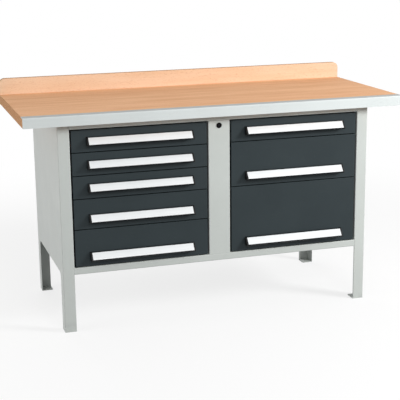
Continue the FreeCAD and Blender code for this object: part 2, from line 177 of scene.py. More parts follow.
class Recipe:
    """The node tree of one material or of the surround."""

    def __init__(self, owner: Union[bpy.types.Material, bpy.types.World]) -> None:
        """Empty the owner's node tree, ready for new nodes.

        Args:
            owner: Material or surround that the tree belongs to.
        """
        owner.use_nodes = True
        self.owner = owner
        self.tree = owner.node_tree
        self.tree.nodes.clear()

    @classmethod
    def of_material(cls, name: str) -> "Recipe":
        """Return the recipe of a new material with the given name."""
        return cls(bpy.data.materials.new(name))

    def add(self, kind: str, settings: Mapping[str, Any], feeds: Feeds) -> bpy.types.Node:
        """Add a node, set it and feed it.

        Args:
            kind: Blender's name of the node type.
            settings: Properties of the node, set before its sockets.
            feeds: Values or links by socket name or number.

        Returns:
            The new node.
        """
        made = self.tree.nodes.new(kind)
        for key, value in settings.items():
            setattr(made, key, value)
        for key, value in feeds.items():
            socket = made.inputs[key]
            if isinstance(value, Shade):
                self.tree.links.new(value.socket, socket)
            else:
                socket.default_value = value
        return made

    def node(
        self, kind: str, settings: Mapping[str, Any], feeds: Feeds, result: Union[str, int] = 0
    ) -> Shade:
        """Add a node as above and return the output with the name or number that is wanted."""
        return Shade(self, self.add(kind, settings, feeds).outputs[result])

    def place(self, stretch: Optional[Triple] = None) -> Shade:
        """Read the place on the piece in metres.

        Args:
            stretch: Factor that each axis is multiplied by, where there is one.

        Returns:
            The place as a vector.
        """
        spot = self.node("ShaderNodeTexCoord", {}, {}, "Object")
        if stretch is None:
            return spot
        return self.node("ShaderNodeMapping", {"vector_type": "POINT"}, {"Vector": spot, "Scale": stretch})

    def along(self, axis: "Axis", source: Shade) -> Shade:
        """Return one axis of a place or direction."""
        return self.node("ShaderNodeSeparateXYZ", {}, {0: source}, axis.value)

    def facing(self) -> Shade:
        """Return the direction that the surface faces."""
        return self.node("ShaderNodeNewGeometry", {}, {}, "Normal")

    def noise(self, spot: Shade, size: float = 1.0, detail: float = 2.0) -> Shade:
        """Return soft noise between zero and one.

        Args:
            spot: Place that the noise is read at.
            size: Size of one patch, in the units of the place.
            detail: Number of finer layers.

        Returns:
            The noise value.
        """
        feeds = {"Vector": spot, "Scale": 1.0 / size, "Detail": detail, "Roughness": NOISE_ROUGHNESS}
        return self.node("ShaderNodeTexNoise", {"noise_dimensions": "3D"}, feeds)

    def cells(self, spot: Shade, size: float) -> Shade:
        """Return the distance to the nearest of scattered points, about one cell apart."""
        return self.node("ShaderNodeTexVoronoi", {"feature": "F1"}, {"Vector": spot, "Scale": 1.0 / size})

    def blend(self, share: Feed, first: Feed, second: Feed) -> Shade:
        """Return a colour between two colours; a share of one gives the second."""
        feeds = {MIX_SHARE: share, MIX_FIRST: first, MIX_SECOND: second}
        return self.node("ShaderNodeMix", {"data_type": "RGBA"}, feeds, MIX_RESULT)

    def bump(self, height: Shade, depth: float) -> Shade:
        """Return the surface direction after a fine relief of the given depth in metres."""
        feeds = {"Height": height, "Strength": 1.0, "Distance": depth}
        return self.node("ShaderNodeBump", {}, feeds, "Normal")

    def finish(self, feeds: Feeds) -> bpy.types.Material:
        """Close the tree with one surface shader.

        Args:
            feeds: Values or links by socket name.

        Returns:
            The material that owns the tree.
        """
        surface = self.node("ShaderNodeBsdfPrincipled", {}, feeds, "BSDF")
        self.close("ShaderNodeOutputMaterial", surface)
        return self.owner

    def close(self, kind: str, surface: Shade) -> None:
        """Add the output node of the tree, fed by the surface."""
        self.add(kind, {}, {"Surface": surface})


class Axis(Enum):
    """An axis of the part's frame across the length of the bench."""

    BACK = "Y"
    UP = "Z"


class Finish(ABC):
    """A finish that can be made into one material."""

    @abstractmethod
    def make(self) -> bpy.types.Material:
        """Return the material."""


@dataclass(frozen=True)
class PowderCoat(Finish):
    """Baked powder paint: orange peel, a faint cloud in its tone, dull handled patches and light use.

    Fine scratches show in the handled patches and rub marks near the floor. Painted shade darkens faces that
    look up, standing in for the weaker light on upper sides. All of them turn the paint a little towards
    middle grey.
    """

    name: str
    colour: Rgb
    shade: Rgb
    roughness: float = 0.42
    gloss: float = 0.4
    peel: float = 0.0016
    peel_depth: float = 0.00005
    cloud: float = 0.22
    patch: float = 0.05
    patch_change: float = 0.16
    cloud_step: Step = (0.3, 0.75)
    scratch_stretch: Triple = (60.0, 900.0, 900.0)
    scratch_step: Step = (0.64, 0.72)
    scratch_patch: Step = (0.45, 0.7)
    scratch_share: float = 0.7
    rub_height: float = 0.05
    rub_patch: Step = (0.4, 0.6)
    rub_share: float = 0.5
    # Painted shade on faces that look up: the upward step, the least share, its change with the patches, and
    # its share
    upper_step: Step = (0.6, 0.95)
    top_shade_least: float = 0.7
    top_shade_change: float = 0.6
    top_shade_share: float = 0.0
    grey: int = 128
    grey_share: float = 0.4

    def wear_and_top_shade(self) -> Rgb:
        """Return the colour of worn paint and of painted top shade, part of the way to middle grey."""
        red, green, blue = (round(tone + (self.grey - tone) * self.grey_share) for tone in self.colour)
        return (red, green, blue)

    def marks(self, recipe: Recipe, handled: Shade) -> Shade:
        """Work out where the paint is worn, and where faces that look up get painted shade.

        Args:
            recipe: Tree that the nodes go into.
            handled: Noise that is high in handled patches.

        Returns:
            Share of the grey colour, the largest one of scratches, rub marks and painted top shade.
        """
        scratch = recipe.noise(recipe.place(self.scratch_stretch)).rise(*self.scratch_step)
        low = 1.0 - recipe.along(Axis.UP, recipe.place()).rise(0.0, self.rub_height)
        upper = recipe.along(Axis.UP, recipe.facing()).rise(*self.upper_step)
        scratched = scratch * handled.rise(*self.scratch_patch) * self.scratch_share
        rubbed = low * handled.rise(*self.rub_patch) * self.rub_share
        # Painted shade: faces that look up turn towards grey, standing in for the weaker light on upper sides
        painted_top_shade = upper * (self.top_shade_least + handled * self.top_shade_change) * self.top_shade_share
        return scratched.larger(rubbed).larger(painted_top_shade)

    def make(self) -> bpy.types.Material:
        """Make the paint.

        Returns:
            The material.
        """
        recipe = Recipe.of_material(self.name)
        spot = recipe.place()
        cloud = recipe.noise(spot, self.cloud, detail=3.0)
        handled = recipe.noise(spot, self.patch, detail=4.0)
        peel = recipe.noise(spot, self.peel, detail=1.0)
        wear_and_top_shade = self.marks(recipe, handled)
        colour = recipe.blend(cloud.rise(*self.cloud_step), paint(self.colour), paint(self.shade))
        return recipe.finish({
            "Base Color": recipe.blend(wear_and_top_shade, colour, paint(self.wear_and_top_shade())),
            "Roughness": self.roughness + (handled - NOISE_MIDDLE + wear_and_top_shade) * self.patch_change,
            "Specular IOR Level": self.gloss,
            "Normal": recipe.bump(peel, self.peel_depth),
        })


@dataclass(frozen=True)
class BeechPly(Finish):
    """Lacquered beech plywood: flecked face veneer, and bare plies where the board is cut across."""

    name: str
    plies: Axis
    face: Rgb = (248, 195, 151)
    figure: Rgb = (234, 177, 132)
    line: Rgb = (227, 167, 119)
    fleck: Rgb = (197, 138, 94)
    long_ply: Rgb = (226, 178, 134)
    cross_ply: Rgb = (186, 132, 90)
    glue: Rgb = (126, 84, 54)
    ply: float = 0.0019
    pore: float = 0.0006
    broad_stretch: Triple = (0.9, 15.0, 15.0)
    mottle_stretch: Triple = (4.5, 42.0, 42.0)
    line_stretch: Triple = (5.0, 330.0, 330.0)
    fleck_stretch: Triple = (95.0, 800.0, 800.0)
    figure_step: Step = (0.38, 0.64)
    line_step: Step = (0.45, 0.75)
    fleck_step: Step = (0.62, 0.72)
    ply_step: Step = (-0.2, 0.2)
    pore_step: Step = (0.5, 0.75)
    glue_step: Step = (0.0, 0.22)
    flat_step: Step = (0.5, 0.8)
    mottle_share: float = 0.45
    line_share: float = 0.45
    fleck_share: float = 0.55
    pore_share: float = 0.4
    glue_share: float = 0.7
    grain_depth: float = 0.00004
    fleck_depth: float = 0.6
    roughness: float = 0.58
    line_roughness: float = 0.1
    cut_roughness: float = 0.15
    gloss: float = 0.12

    def veneer(self, recipe: Recipe, lines: Shade, flecks: Shade) -> Shade:
        """Colour the face veneer, with its grain along the bench.

        Args:
            recipe: Tree that the nodes go into.
            lines: Noise of the fine grain lines.
            flecks: One in the short dark flecks, zero between them.

        Returns:
            The colour: a broad figure and a mottle between two tones, then lines, then flecks.
        """
        broad = recipe.noise(recipe.place(self.broad_stretch), detail=4.0)
        mottle = recipe.noise(recipe.place(self.mottle_stretch), detail=3.0)
        figure = broad * (1.0 - self.mottle_share) + mottle * self.mottle_share
        colour = recipe.blend(figure.rise(*self.figure_step), paint(self.face), paint(self.figure))
        colour = recipe.blend(lines.rise(*self.line_step) * self.line_share, colour, paint(self.line))
        return recipe.blend(flecks * self.fleck_share, colour, paint(self.fleck))

    def cut_edge(self, recipe: Recipe) -> Shade:
        """Colour the plies where the board is cut across.

        A sine across the board is above zero in long plies and below zero in cross plies, and it passes
        through zero at the glue between them.

        Args:
            recipe: Tree that the nodes go into.

        Returns:
            The colour.
        """
        across = recipe.along(self.plies, recipe.place())
        wave = (across * (math.pi / self.ply)).sine()
        colour = recipe.blend(wave.rise(*self.ply_step), paint(self.cross_ply), paint(self.long_ply))
        pores = recipe.noise(recipe.place(), self.pore, detail=1.0).rise(*self.pore_step)
        colour = recipe.blend(pores * self.pore_share, colour, paint(self.cross_ply))
        glued = 1.0 - abs(wave).rise(*self.glue_step)
        return recipe.blend(glued * self.glue_share, colour, paint(self.glue))

    def make(self) -> bpy.types.Material:
        """Make the board's finish: veneer where it is flat, plies where it is cut.

        Returns:
            The material.
        """
        recipe = Recipe.of_material(self.name)
        lines = recipe.noise(recipe.place(self.line_stretch), detail=3.0)
        flecks = recipe.noise(recipe.place(self.fleck_stretch), detail=1.0).rise(*self.fleck_step)
        flatness = abs(recipe.along(self.plies, recipe.facing()))
        cut = 1.0 - flatness.rise(*self.flat_step)
        relief = lines - flecks * self.fleck_depth
        return recipe.finish({
            "Base Color": recipe.blend(cut, self.veneer(recipe, lines, flecks), self.cut_edge(recipe)),
            "Roughness": self.roughness + lines * self.line_roughness + cut * self.cut_roughness,
            "Specular IOR Level": self.gloss,
            "Normal": recipe.bump(relief, self.grain_depth),
        })


@dataclass(frozen=True)
class DrawnMetal(Finish):
    """Bare, plated or anodised metal with fine lines along the bench and a cloudy tone."""

    name: str
    colour: Rgb
    shade: Rgb
    roughness: float = 0.32
    streak: float = 0.12
    relief: float = 0.00001
    cloud: float = 0.03
    cloud_change: float = 0.08
    line_stretch: Triple = (6.0, 1400.0, 1400.0)

    def make(self) -> bpy.types.Material:
        """Make the metal.

        Returns:
            The material.
        """
        recipe = Recipe.of_material(self.name)
        cloud = recipe.noise(recipe.place(), self.cloud, detail=3.0)
        lines = recipe.noise(recipe.place(self.line_stretch))
        streaks = (lines - NOISE_MIDDLE) * self.streak
        clouds = (cloud - NOISE_MIDDLE) * self.cloud_change
        return recipe.finish({
            "Base Color": recipe.blend(cloud, paint(self.colour), paint(self.shade)),
            "Metallic": 1.0,
            "Roughness": self.roughness + streaks + clouds,
            "Normal": recipe.bump(lines, self.relief),
        })


@dataclass(frozen=True)
class Moulded(Finish):
    """Moulded plastic with the fine pebble of its tool."""

    name: str
    colour: Rgb
    shade: Rgb
    roughness: float = 0.5
    pebble: float = 0.0007
    depth: float = 0.00003
    gloss: float = 0.5
    glow: float = 0.0
    glow_depth: float = 0.002
    cloud: float = 0.02
    cloud_change: float = 0.14

    def make(self) -> bpy.types.Material:
        """Make the plastic.

        Returns:
            The material.
        """
        recipe = Recipe.of_material(self.name)
        spot = recipe.place()
        pebble = recipe.cells(spot, self.pebble)
        cloud = recipe.noise(spot, self.cloud, detail=3.0)
        return recipe.finish({
            "Base Color": recipe.blend(cloud, paint(self.colour), paint(self.shade)),
            "Roughness": self.roughness + (cloud - NOISE_MIDDLE) * self.cloud_change,
            "Specular IOR Level": self.gloss,
            "Subsurface Weight": self.glow,
            "Subsurface Scale": self.glow_depth,
            "Normal": recipe.bump(pebble, self.depth),
        })


@dataclass(frozen=True)
class CoveredCard(Finish):
    """White label card under a clear strip: paper fibre below, a smooth coat above."""

    name: str
    colour: Rgb = (242, 245, 246)
    shade: Rgb = (237, 240, 241)
    fibre_stretch: Triple = (500.0, 1500.0, 1500.0)
    fibre_depth: float = 0.00001
    fibre_share: float = 0.6
    cloud: float = 0.06
    tone_step: Step = (0.35, 0.7)
    roughness: float = 0.5
    roughness_change: float = 0.15
    coat: float = 0.5
    coat_roughness: float = 0.15

    def make(self) -> bpy.types.Material:
        """Make the card and its cover.

        Returns:
            The material.
        """
        recipe = Recipe.of_material(self.name)
        fibre = recipe.noise(recipe.place(self.fibre_stretch), detail=3.0)
        cloud = recipe.noise(recipe.place(), self.cloud)
        mixed = fibre * self.fibre_share + cloud * (1.0 - self.fibre_share)
        return recipe.finish({
            "Base Color": recipe.blend(mixed.rise(*self.tone_step), paint(self.colour), paint(self.shade)),
            "Roughness": self.roughness + fibre * self.roughness_change,
            "Coat Weight": self.coat,
            "Coat Roughness": self.coat_roughness,
            "Normal": recipe.bump(fibre, self.fibre_depth),
        })


class Palette:
    """The finishes of the bench, one for each material slot of the record, and a few more."""

    def __init__(self, finishes: Mapping[str, Finish]) -> None:
        """Make every finish once."""
        self.materials = {slot: finish.make() for slot, finish in finishes.items()}

    def coat(self, piece: bpy.types.Object, finish: str) -> None:
        """Give a node or a piece one finish all over.

        Args:
            piece: Node or new piece.
            finish: Name of the finish.
        """
        if not piece.data.materials:
            piece.data.materials.append(None)
        for index in range(len(piece.data.materials)):
            piece.data.materials[index] = self.materials[finish]


FINISHES: dict[str, Finish] = {
    "carcass_paint": PowderCoat("carcass_paint", (205, 210, 206), (201, 206, 202)),
    "drawer_front_paint": PowderCoat(
        "drawer_front_paint", (47, 56, 59), (43, 52, 55), roughness=0.48, gloss=0.22
    ),
    "drawer_box_paint": PowderCoat("drawer_box_paint", (190, 194, 192), (184, 188, 186)),
    "beech": BeechPly("beech_top", Axis.UP),
    # The upstand wears a paler copy of the top's beech: painted light for the stronger light on its upright
    # face
    "beech_upstand": BeechPly(
        "beech_upstand", Axis.BACK, face=(241, 208, 178), figure=(236, 199, 165), line=(228, 187, 151)
    ),
    # The nosing's upper faces get painted shade, a darker grey standing in for the weaker light on the flange
    # top
    "nosing_paint": PowderCoat(
        "nosing_paint", (222, 228, 227), (218, 224, 223), gloss=0.25, top_shade_share=1.0
    ),
    # The grip strip and beads are dark anodised; their dark tone also serves as painted shade, outlining each
    # white card
    "handle_aluminium": DrawnMetal("handle_aluminium", (34, 35, 37), (28, 29, 31), roughness=0.36),
    "label_card": CoveredCard("label_card"),
    "black_plastic": Moulded("black_plastic", (17, 17, 18), (13, 13, 14), gloss=0.2),
    "zinc_steel": DrawnMetal("zinc_steel", (196, 201, 206), (176, 181, 188), roughness=0.38),
    "nylon": Moulded("nylon", (233, 230, 220), (226, 222, 210), roughness=0.42, glow=0.15),
    "lock_black": DrawnMetal("lock_black", (24, 24, 25), (19, 19, 20), roughness=0.36),
    "lock_metal": DrawnMetal("lock_metal", (34, 34, 36), (28, 28, 30), roughness=0.30),
}


def rounded_outline(corners: np.ndarray, radii: np.ndarray, steps: int = 5) -> np.ndarray:
    """Return the outline of a polygon with rounded corners.

    Each corner becomes an arc that touches both of its sides. The arc's centre stands on the corner's
    bisector at radius / sin(half the corner's angle), and the arc swings evenly between the two touching
    points, which lie radius / tan(half the angle) away from the corner.

    Args:
        corners: Corner points, one row each.
        radii: Radius at each corner, above zero.
        steps: Points on each arc.

    Returns:
        Points of the outline, one row each.
    """
    before = np.roll(corners, 1, axis=0) - corners
    after = np.roll(corners, -1, axis=0) - corners
    before = before / np.linalg.norm(before, axis=1, keepdims=True)
    after = after / np.linalg.norm(after, axis=1, keepdims=True)
    half = np.arccos(np.clip((before * after).sum(axis=1), -1.0, 1.0)) / 2
    reach = (radii / np.tan(half))[:, None]
    bisector = before + after
    bisector = bisector / np.linalg.norm(bisector, axis=1, keepdims=True)
    centre = corners + bisector * (radii / np.sin(half))[:, None]
    first = corners + before * reach - centre
    last = corners + after * reach - centre
    swing = (np.pi - 2 * half)[:, None, None]
    share = np.linspace(0.0, 1.0, steps)[None, :, None]
    arcs = np.sin((1 - share) * swing) * first[:, None] + np.sin(share * swing) * last[:, None]
    return (centre[:, None] + arcs / np.sin(swing)).reshape(-1, 2)


def points(x: ArrayLike, y: ArrayLike, z: ArrayLike) -> np.ndarray:
    """Return points with their axes last; a smaller array or a number is shared by all of them."""
    return np.stack(np.broadcast_arrays(x, y, z), axis=-1)


def copied(rings: np.ndarray, places: np.ndarray) -> np.ndarray:
    """Return copies of a shape's rings, one moved to each place."""
    return rings[None] + places[:, None, None, :]


def carried_along(outline: np.ndarray, places: np.ndarray) -> np.ndarray:
    """Return rings made by carrying an outline along x.

    Args:
        outline: Points with their y and z, one row each.
        places: Values of x, one for each ring.

    Returns:
        Array of rings, points and axes.
    """
    return points(places[:, None], outline[:, 0], outline[:, 1])


def turned(profile: np.ndarray, lobes: np.ndarray, axis: Axis, segments: int = 28) -> np.ndarray:
    """Return rings made by turning a profile about an axis.

    A ring has the radius r(angle) = radius * (1 + lobe * cos(6 * angle)), so a lobe of zero is round and
    another value gives the six lobes of a screw's drive.

    Args:
        profile: Rows of radius and place along the axis.
        lobes: Depth of the lobes for each row of the profile.
        axis: Axis that the profile is turned about.
        segments: Points on each ring.

    Returns:
        Array of rings, points and axes.
    """
    angle = np.linspace(0.0, 2 * np.pi, segments, endpoint=False)[None, :]
    radius = profile[:, :1] * (1 + lobes[:, None] * np.cos(DRIVE_LOBES * angle))
    level = profile[:, 1:]
    across = radius * np.cos(angle)
    upward = radius * np.sin(angle)
    if axis is Axis.BACK:
        return points(across, level, upward)
    return points(across, upward, level)


def ring_faces(rows: int, columns: int, looped: bool) -> list[np.ndarray]:
    """Return the quads between neighbouring rings, and the two end faces where the rings don't loop.

    Args:
        rows: Number of rings.
        columns: Points on each ring.
        looped: True where the last ring joins the first one.

    Returns:
        Arrays of faces, one row for each face.
    """
    row = np.arange(rows if looped else rows - 1)[:, None]
    column = np.arange(columns)[None, :]
    beside = (column + 1) % columns
    above = (row + 1) % rows
    here = row * columns
    there = above * columns
    corners = [here + column, here + beside, there + beside, there + column]
    faces = [np.stack(np.broadcast_arrays(*corners), axis=-1).reshape(-1, 4)]
    if not looped:
        faces.append(np.arange(columns)[None, ::-1])
        faces.append(np.arange(columns)[None, :] + (rows - 1) * columns)
    return faces


def inside_out(rings: np.ndarray, faces: np.ndarray) -> np.ndarray:
    """Return which copies of a closed shell are inside out.

    The volume of a shell is a sixth of the sum of the corner products a . (b x c) over its triangles, and
    it comes out below zero where the faces point inwards.

    Args:
        rings: Array of copies, rings, points and axes.
        faces: Quads of one copy.

    Returns:
        One truth value for each copy.
    """
    corners = rings.reshape(len(rings), -1, 3)
    corners = corners - corners.mean(axis=1, keepdims=True)
    a, b, c, d = (corners[:, corner] for corner in faces.T)
    volume = (a * np.cross(b, c)).sum(axis=(1, 2)) + (a * np.cross(c, d)).sum(axis=(1, 2))
    return volume < 0


def shell(name: str, rings: np.ndarray, looped: bool = False, sharp: float = 35.0) -> bpy.types.Object:
    """Make one piece out of copies of a closed shell.

    Args:
        name: Name of the piece.
        rings: Array of copies, rings, points and axes.
        looped: True where the last ring joins the first one.
        sharp: Edges that turn by more than this angle in degrees stay sharp.

    Returns:
        The new piece, at the origin.
    """
    copies, rows, columns, _ = rings.shape
    faces = ring_faces(rows, columns, looped)
    flipped = inside_out(rings, faces[0])
    listed: list[list[int]] = []
    for copy in range(copies):
        start = copy * rows * columns
        for group in faces:
            turned_right = group[:, ::-1] if flipped[copy] else group
            listed += (turned_right + start).tolist()
    mesh = bpy.data.meshes.new(name)
    mesh.from_pydata(rings.reshape(-1, 3).tolist(), [], listed)
    mesh.shade_smooth()
    mesh.set_sharp_from_angle(angle=math.radians(sharp))
    piece = bpy.data.objects.new(name, mesh)
    bpy.context.scene.collection.objects.link(piece)
    return piece


@dataclass
class SubAssembly:
    """A group of pieces that is built and dressed together."""

    nodes: Mapping[str, bpy.types.Object]
    palette: Palette

    def dress(self, finish: str, *names: str) -> None:
        """Give CAD nodes one finish.

        Args:
            finish: Name of the finish.
            names: Names of the nodes.
        """
        for name in names:
            self.palette.coat(self.nodes[name], finish)
            LOG.info("%s wears %s", name, finish)

    def keep(self, piece: bpy.types.Object, body: str, finish: str, slot: str, *stands_for: str) -> None:
        """Dress a new piece, let it ride on its body and report it.

        Args:
            piece: The new piece.
            body: Body that it moves with.
            finish: Name of its finish.
            slot: Material slot of the record; not used.
            stands_for: CAD nodes that it replaces.
        """
        self.palette.coat(piece, finish)
        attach(piece, body)
        if stands_for:
            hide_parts(*stands_for)
        LOG.info("%s rides on %s, %d faces", piece.name, body, len(piece.data.polygons))


@dataclass
class Carcass(SubAssembly):
    """Folded sheet-steel body with its legs, and the rivets that hold the back panel."""

    rivet_radius: float = 0.004
    rivet_height: float = 0.0014
    rivet_sink: float = 0.0003
    leg_rivets: int = 5
    rail_rivets: int = 6
    rivet_sweep: float = 75.0
    rivet_rows: int = 6
    rivet_segments: int = 20
    edge_inset: float = 0.030
    leg_face: float = 0.046

    def build(self) -> None:
        """Add the blind rivets of the back panel as flat domes.

        A dome's radius is R * cos(a) and its height H * sin(a), for a from zero to the sweep.
        """
        low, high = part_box("back_panel")
        leg_low, leg_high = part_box("left_side_panel")
        tray_low, tray_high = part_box("bottom_tray")
        rail_low, rail_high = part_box("top_rear_rail")
        leg_x = -leg_low.x - self.leg_face / 2
        up = np.linspace(low.z + self.edge_inset, high.z - self.edge_inset, self.leg_rivets)
        side = np.repeat([-leg_x, leg_x], self.leg_rivets)
        on_legs = points(side, leg_high.y, np.tile(up, 2))
        reach = tray_high.x - 2 * self.edge_inset
        along = np.linspace(-reach, reach, self.rail_rivets)
        levels = np.repeat([(tray_low.z + tray_high.z) / 2, (rail_low.z + rail_high.z) / 2], self.rail_rivets)
        on_rails = points(np.tile(along, 2), high.y, levels)
        places = np.concatenate([on_legs, on_rails])
        angle = np.radians(np.linspace(0.0, self.rivet_sweep, self.rivet_rows))
        radius = np.concatenate([[self.rivet_radius], self.rivet_radius * np.cos(angle)])
        height = np.concatenate([[-self.rivet_sink], self.rivet_height * np.sin(angle)])
        profile = np.stack([radius, height], axis=-1)
        dome = turned(profile, np.zeros(len(profile)), Axis.BACK, self.rivet_segments)
        rivets = shell("back_panel_rivets", copied(dome, places))
        self.keep(rivets, "bench", "zinc_steel", "zinc_steel")

    def finish(self) -> None:
        """Dress the sheet-steel nodes."""
        self.dress(
            "carcass_paint", "left_side_panel", "right_side_panel", "foot_plates", "back_panel",
            "bottom_tray", "top_front_rail", "top_rear_rail", "centre_post", "runner_walls",
        )
        self.dress("zinc_steel", "cabinet_rails")
        self.dress("nylon", "cabinet_rollers")


@dataclass
class Worktop(SubAssembly):
    """Plywood top with its steel nosing and upstand, and the screws that hold them."""

    head_radius: float = 0.005
    head_height: float = 0.003
    head_edge: float = 0.0008
    drive_radius: float = 0.0024
    drive_depth: float = 0.0018
    drive_lobe: float = 0.16
    shank_radius: float = 0.0025
    tip_radius: float = 0.0004
    tip_length: float = 0.006
    screw_count: int = 5
    rail_inset: float = 0.046
    rail_return: float = 0.020
    upstand_inset: float = 0.080
    rail_screw_length: float = 0.0295
    upstand_screw_length: float = 0.057

    def screw(self, length: float) -> tuple[np.ndarray, np.ndarray]:
        """Return the profile of a pan-head screw from its six-lobed drive to its tip.

        Args:
            length: Length under the head.

        Returns:
            Rows of radius and distance below the top of the head, and the depth of the lobes per row.
        """
        drive = [
            (self.drive_radius, self.drive_depth),
            (self.drive_radius, 0.0),
        ]
        body = [
            (self.head_radius - self.head_edge, 0.0),
            (self.head_radius, self.head_edge),
            (self.head_radius, self.head_height),
            (self.shank_radius, self.head_height),
            (self.shank_radius, self.head_height + length - self.tip_length),
            (self.tip_radius, self.head_height + length),
        ]
        lobes = [self.drive_lobe] * len(drive) + [0.0] * len(body)
        return np.array(drive + body), np.array(lobes)

    def build(self) -> None:
        """Replace the plain screws by ones with a drive, at the places of the CAD screws."""
        _, body_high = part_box("bottom_tray")
        rear_low, rear_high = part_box("top_rear_rail")
        screws_low, screws_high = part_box("wood_screws")
        top_low, top_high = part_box("worktop_board")
        seat = screws_low.z
        reach = body_high.x - self.rail_inset
        along = np.linspace(-reach, reach, self.screw_count)
        front_y = screws_low.y + self.head_radius
        rear_y = rear_low.y + (rear_high.y - rear_low.y - self.rail_return) / 2
        under = points(np.tile(along, 2), np.repeat([front_y, rear_y], self.screw_count), seat)
        profile, lobes = self.screw(self.rail_screw_length)
        upward = turned(profile, lobes, Axis.UP)
        reach = top_high.x - self.upstand_inset
        along = np.linspace(-reach, reach, self.screw_count)
        behind = points(along, screws_high.y, (top_low.z + top_high.z) / 2)
        profile, lobes = self.screw(self.upstand_screw_length)
        forward = turned(profile * np.array([1.0, -1.0]), lobes, Axis.BACK)
        screws = shell("board_screws", np.concatenate([copied(upward, under), copied(forward, behind)]))
        self.keep(screws, "bench", "zinc_steel", "zinc_steel", "wood_screws")

    def finish(self) -> None:
        """Dress the boards and the nosing."""
        self.dress("beech", "worktop_board")
        self.dress("beech_upstand", "upstand_board")
        self.dress("nosing_paint", "edge_nosing")


@dataclass
class Lock(SubAssembly):
    """Central lock in the post: turned bezel, plug, cam, nut and locking bar."""

    bore: float = 0.00605
    barrel: float = 0.009
    bore_edge: float = 0.0003
    rim_edge: float = 0.0006
    seat_edge: float = 0.0002
    tail_edge: float = 0.0004
    edge_steps: int = 4
    segments: int = 40

    def build(self) -> None:
        """Replace the plain barrel by a turned one with a rounded bezel; its profile is a closed outline."""
        low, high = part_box("lock_barrel")
        post_low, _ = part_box("centre_post")
        head = (high.x - low.x) / 2
        corners = np.array([
            (self.bore, low.y),
            (head, low.y),
            (head, post_low.y),
            (self.barrel, post_low.y),
            (self.barrel, high.y),
            (self.bore, high.y),
        ])
        radii = np.array([
            self.bore_edge, self.rim_edge, self.seat_edge, self.seat_edge, self.tail_edge, self.bore_edge,
        ])
        profile = rounded_outline(corners, radii, self.edge_steps)
        rings = turned(profile, np.zeros(len(profile)), Axis.BACK, self.segments)
        centre = np.array([(low.x + high.x) / 2, 0.0, (low.z + high.z) / 2])
        bezel = shell("lock_bezel", (rings + centre)[None], looped=True)
        self.keep(bezel, "bench", "lock_black", "lock_black", "lock_barrel")

    def finish(self) -> None:
        """Dress the metal parts."""
        self.dress("lock_metal", "lock_plug")
        self.dress("zinc_steel", "lock_cam", "lock_nut", "locking_bar")


